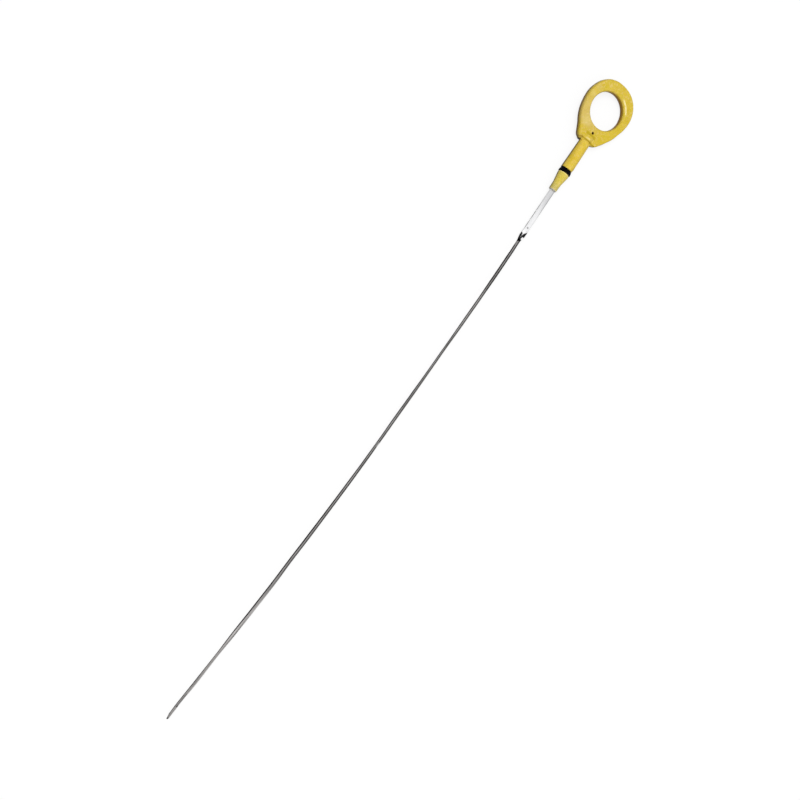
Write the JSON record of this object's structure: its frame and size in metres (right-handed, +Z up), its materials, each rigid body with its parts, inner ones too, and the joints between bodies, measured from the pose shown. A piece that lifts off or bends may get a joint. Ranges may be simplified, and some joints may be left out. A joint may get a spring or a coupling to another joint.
{
  "type": "engine oil dipstick",
  "caption": "Yellow moulded ring handle with a rubber seal and guide plug, over a long twisted steel strip that shows the oil level at its tip",
  "frame": {"origin": "Middle of the outline of the stick as it lies, on the surface that it lies on", "axes": "+X runs along the stick from the blade's tip to the finger ring, +Z is up as it lies at rest on the seal, one edge of the ring and the tip"},
  "size_m": [0.5384, 0.0404, 0.0106],
  "materials": {
    "yellow_plastic": "moulded, semi-gloss, lightly mottled",
    "black_rubber": "smooth, slightly oily",
    "strip_steel": "rolled strip, drawn lengthwise"
  },
  "bodies": {
    "root": {"handle": "yellow_plastic", "o_ring": "black_rubber", "blade": "strip_steel"}
  },
  "joints": []
}
